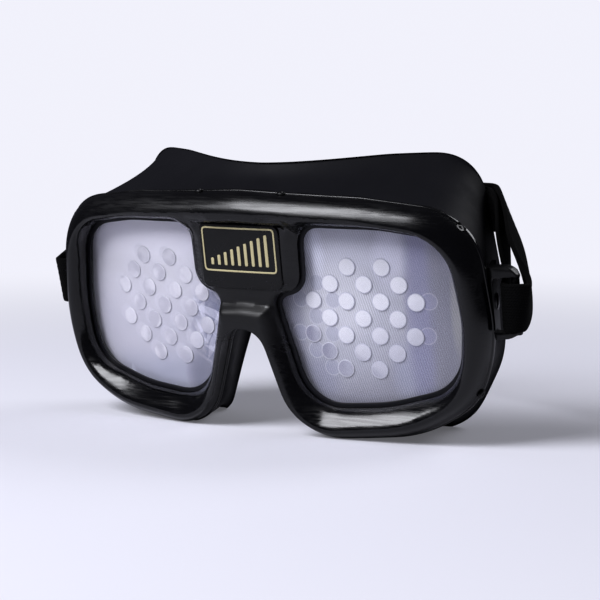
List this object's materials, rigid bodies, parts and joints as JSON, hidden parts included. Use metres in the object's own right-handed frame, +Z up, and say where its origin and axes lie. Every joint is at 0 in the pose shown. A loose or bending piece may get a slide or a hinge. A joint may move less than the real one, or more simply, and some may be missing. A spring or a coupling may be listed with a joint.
{
  "type": "vision impairment goggles",
  "caption": "Black wrap-round goggles with a hazy curved lens, pale discs and fine grooves over each eye, a soft vented skirt and an elastic strap on side brackets.",
  "frame": {"origin": "on the table under the middle of the whole, on the middle plane between the eyes", "axes": "+X from the wearer's right eye to their left eye as worn, which is left to right seen from the front; +Y from the front towards the wearer's head; +Z up, as the goggles stand on a table"},
  "size_m": [0.192, 0.0885, 0.094],
  "materials": {
    "bezel_gloss": "glossy moulded black polycarbonate",
    "badge_black": "glossy black with a fine satin grain",
    "badge_gold": "pale khaki gold, satin",
    "lens_haze": "hazy clear polycarbonate",
    "groove_film": "clear film with fine steep grooves",
    "disc_white": "pale translucent white",
    "gasket_grey": "satin grey foam rubber",
    "carrier_black": "matt moulded black",
    "skirt_rubber": "satin black soft moulding",
    "hardware_black": "satin black moulded plastic",
    "rivet_steel": "plain turned steel",
    "strap_webbing": "black woven elastic"
  },
  "bodies": {
    "goggles": {"front_bezel": "bezel_gloss", "cover_lens": "lens_haze", "left_groove_film": "groove_film", "right_groove_film": "groove_film", "left_disc_set": "disc_white", "right_disc_set": "disc_white", "left_lens_gasket": "gasket_grey", "right_lens_gasket": "gasket_grey", "lens_carrier": "carrier_black", "badge_plate": "badge_black", "badge_inlay": "badge_gold", "rim_snap_pins": "hardware_black", "face_skirt": "skirt_rubber", "left_strap_bracket": "hardware_black", "right_strap_bracket": "hardware_black", "bracket_rivets": "rivet_steel", "rivet_washers": "rivet_steel"},
    "strap": {"head_strap": "strap_webbing"},
    "left_slider": {"left_strap_slider": "hardware_black"},
    "right_slider": {"right_strap_slider": "hardware_black"}
  },
  "joints": [
    {"name": "strap_swing", "type": "hinge", "parent": "goggles", "child": "strap", "pos_m": [0, -0.01428, 0.0463], "axis": [1, 0, 0], "range_deg": [-14, 0]},
    {"name": "left_slider_travel", "type": "slide", "parent": "strap", "child": "left_slider", "axis": [0.8706, 0.4913, 0.0253], "range_m": [-0.008, 0.008]},
    {"name": "right_slider_travel", "type": "slide", "parent": "strap", "child": "right_slider", "axis": [-0.8706, 0.4913, 0.0253], "range_m": [-0.008, 0.008]}
  ]
}
